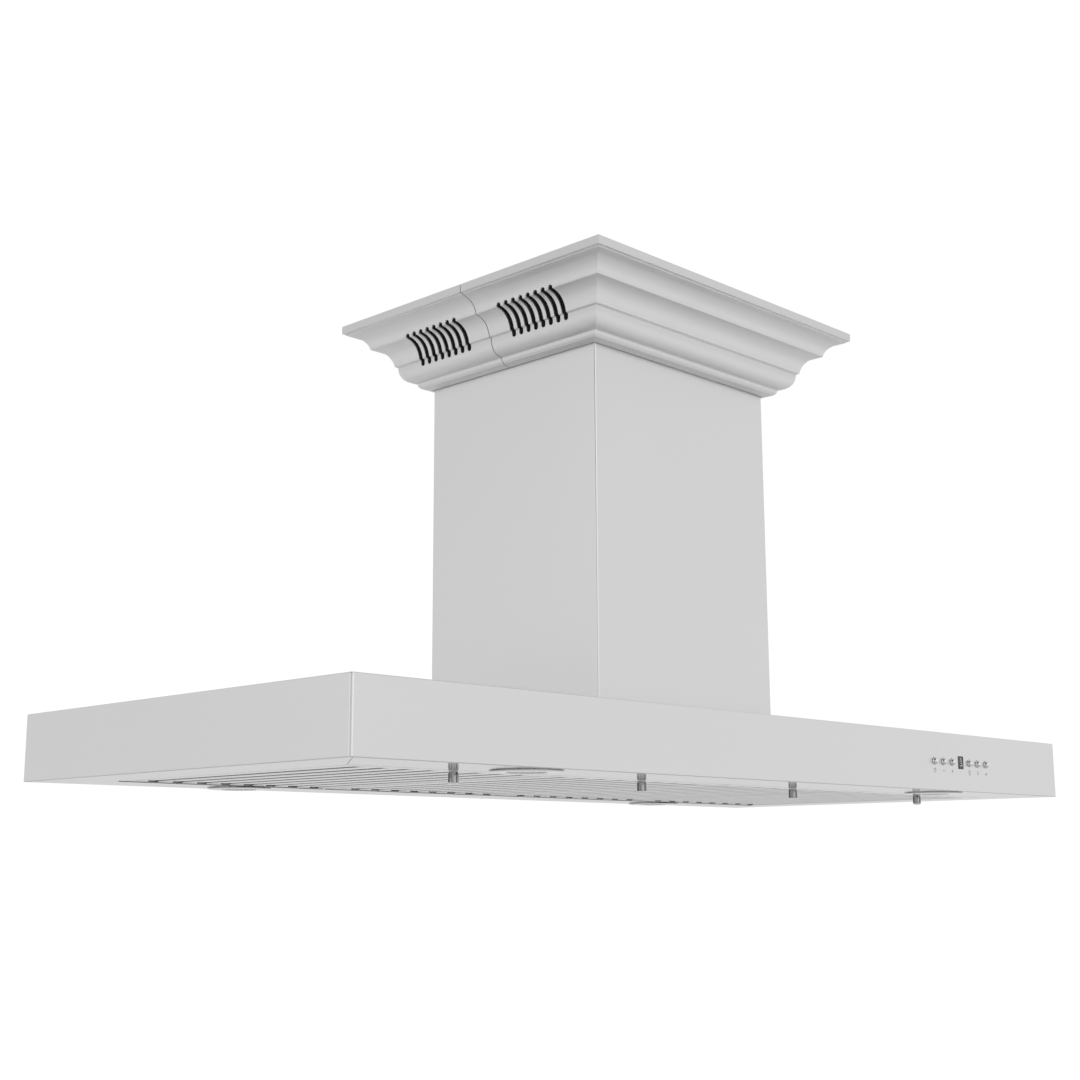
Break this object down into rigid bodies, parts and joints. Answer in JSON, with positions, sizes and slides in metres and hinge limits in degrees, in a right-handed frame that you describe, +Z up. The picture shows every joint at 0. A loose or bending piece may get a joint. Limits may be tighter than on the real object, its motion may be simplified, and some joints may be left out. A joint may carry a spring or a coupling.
{
  "type": "island range hood",
  "caption": "Stainless island range hood: shallow rectangular canopy with baffle filters, lamps and push buttons under a square chimney with a crown moulding.",
  "frame": {"origin": "middle of the ceiling face, where the ceiling plate meets the ceiling; the hood hangs below it", "axes": "+X along the long side, to the right for a person facing the buttons; -Y towards that person, so the buttons are on the -Y side; +Z up"},
  "size_m": [1.219, 0.5467, 0.5893],
  "materials": {
    "stainless": "fine horizontal brushing, satin",
    "polished_steel": "polished",
    "galvanised_steel": "dull zinc coating",
    "aluminium": "mill finish",
    "black_plastic": "matte",
    "speaker_black": "matte paper cone and cloth",
    "frosted_lens": "frosted",
    "display_glass": "dark, glossy",
    "grey_plastic": "matte"
  },
  "bodies": {
    "ceiling_frame": {"ceiling_plate": "galvanised_steel", "upper_strut_front_left": "galvanised_steel", "upper_strut_front_right": "galvanised_steel", "upper_strut_rear_left": "galvanised_steel", "upper_strut_rear_right": "galvanised_steel", "chimney_upper": "stainless", "crown_front_half": "stainless", "crown_rear_half": "stainless", "speaker_left_front": "speaker_black", "speaker_left_rear": "speaker_black", "speaker_right_front": "speaker_black", "speaker_right_rear": "speaker_black", "speaker_amplifier": "grey_plastic"},
    "canopy": {"canopy_shell": "stainless", "filter_rail_front": "galvanised_steel", "filter_rail_rear": "galvanised_steel", "lamp_bezel_1": "polished_steel", "lamp_bezel_2": "polished_steel", "lamp_bezel_3": "polished_steel", "lamp_bezel_4": "polished_steel", "lamp_lens_1": "frosted_lens", "lamp_lens_2": "frosted_lens", "lamp_lens_3": "frosted_lens", "lamp_lens_4": "frosted_lens", "control_housing": "black_plastic", "display_window": "display_glass", "led_driver": "grey_plastic", "chimney_lower": "stainless", "lower_strut_front_left": "galvanised_steel", "lower_strut_front_right": "galvanised_steel", "lower_strut_rear_left": "galvanised_steel", "lower_strut_rear_right": "galvanised_steel", "blower_box": "galvanised_steel", "blower_scroll": "galvanised_steel", "motor": "aluminium", "motor_bracket": "galvanised_steel", "run_capacitor": "aluminium", "duct_collar": "galvanised_steel", "damper_pin": "polished_steel", "junction_box": "galvanised_steel", "cable_gland": "grey_plastic"},
    "rotor": {"impeller": "galvanised_steel", "motor_shaft": "polished_steel"},
    "damper_front": {"damper_flap_front": "aluminium"},
    "damper_rear": {"damper_flap_rear": "aluminium"},
    "filter_1": {"baffle_filter_1": "stainless", "filter_knob_1": "polished_steel"},
    "filter_2": {"baffle_filter_2": "stainless", "filter_knob_2": "polished_steel"},
    "filter_3": {"baffle_filter_3": "stainless", "filter_knob_3": "polished_steel"},
    "filter_4": {"baffle_filter_4": "stainless", "filter_knob_4": "polished_steel"},
    "button_1_cap": {"button_1": "polished_steel"},
    "button_2_cap": {"button_2": "polished_steel"},
    "button_3_cap": {"button_3": "polished_steel"},
    "button_4_cap": {"button_4": "polished_steel"},
    "button_5_cap": {"button_5": "polished_steel"},
    "button_6_cap": {"button_6": "polished_steel"}
  },
  "joints": [
    {"name": "height_slide", "type": "slide", "parent": "ceiling_frame", "child": "canopy", "axis": [0, 0, -1], "range_m": [0, 0.3]},
    {"name": "rotor_spin", "type": "hinge", "parent": "canopy", "child": "rotor", "pos_m": [0, -0.026, -0.387], "axis": [1, 0, 0], "continuous": true},
    {"name": "damper_front_swing", "type": "hinge", "parent": "canopy", "child": "damper_front", "pos_m": [0, 0.045, -0.2294], "axis": [-1, 0, 0], "range_deg": [0, 80]},
    {"name": "damper_rear_swing", "type": "hinge", "parent": "canopy", "child": "damper_rear", "pos_m": [0, 0.045, -0.2294], "axis": [1, 0, 0], "range_deg": [0, 80]},
    {"name": "filter_1_swing", "type": "hinge", "parent": "canopy", "child": "filter_1", "pos_m": [-0.405, 0.1911, -0.5761], "axis": [1, 0, 0], "range_deg": [0, 75]},
    {"name": "filter_2_swing", "type": "hinge", "parent": "canopy", "child": "filter_2", "pos_m": [-0.135, 0.1911, -0.5761], "axis": [1, 0, 0], "range_deg": [0, 75]},
    {"name": "filter_3_swing", "type": "hinge", "parent": "canopy", "child": "filter_3", "pos_m": [0.135, 0.1911, -0.5761], "axis": [1, 0, 0], "range_deg": [0, 75]},
    {"name": "filter_4_swing", "type": "hinge", "parent": "canopy", "child": "filter_4", "pos_m": [0.405, 0.1911, -0.5761], "axis": [1, 0, 0], "range_deg": [0, 75]},
    {"name": "button_1_press", "type": "slide", "parent": "canopy", "child": "button_1_cap", "axis": [0, 1, 0], "range_m": [0, 0.001], "stiffness_N_per_m": 900},
    {"name": "button_2_press", "type": "slide", "parent": "canopy", "child": "button_2_cap", "axis": [0, 1, 0], "range_m": [0, 0.001], "stiffness_N_per_m": 900},
    {"name": "button_3_press", "type": "slide", "parent": "canopy", "child": "button_3_cap", "axis": [0, 1, 0], "range_m": [0, 0.001], "stiffness_N_per_m": 900},
    {"name": "button_4_press", "type": "slide", "parent": "canopy", "child": "button_4_cap", "axis": [0, 1, 0], "range_m": [0, 0.001], "stiffness_N_per_m": 900},
    {"name": "button_5_press", "type": "slide", "parent": "canopy", "child": "button_5_cap", "axis": [0, 1, 0], "range_m": [0, 0.001], "stiffness_N_per_m": 900},
    {"name": "button_6_press", "type": "slide", "parent": "canopy", "child": "button_6_cap", "axis": [0, 1, 0], "range_m": [0, 0.001], "stiffness_N_per_m": 900}
  ]
}
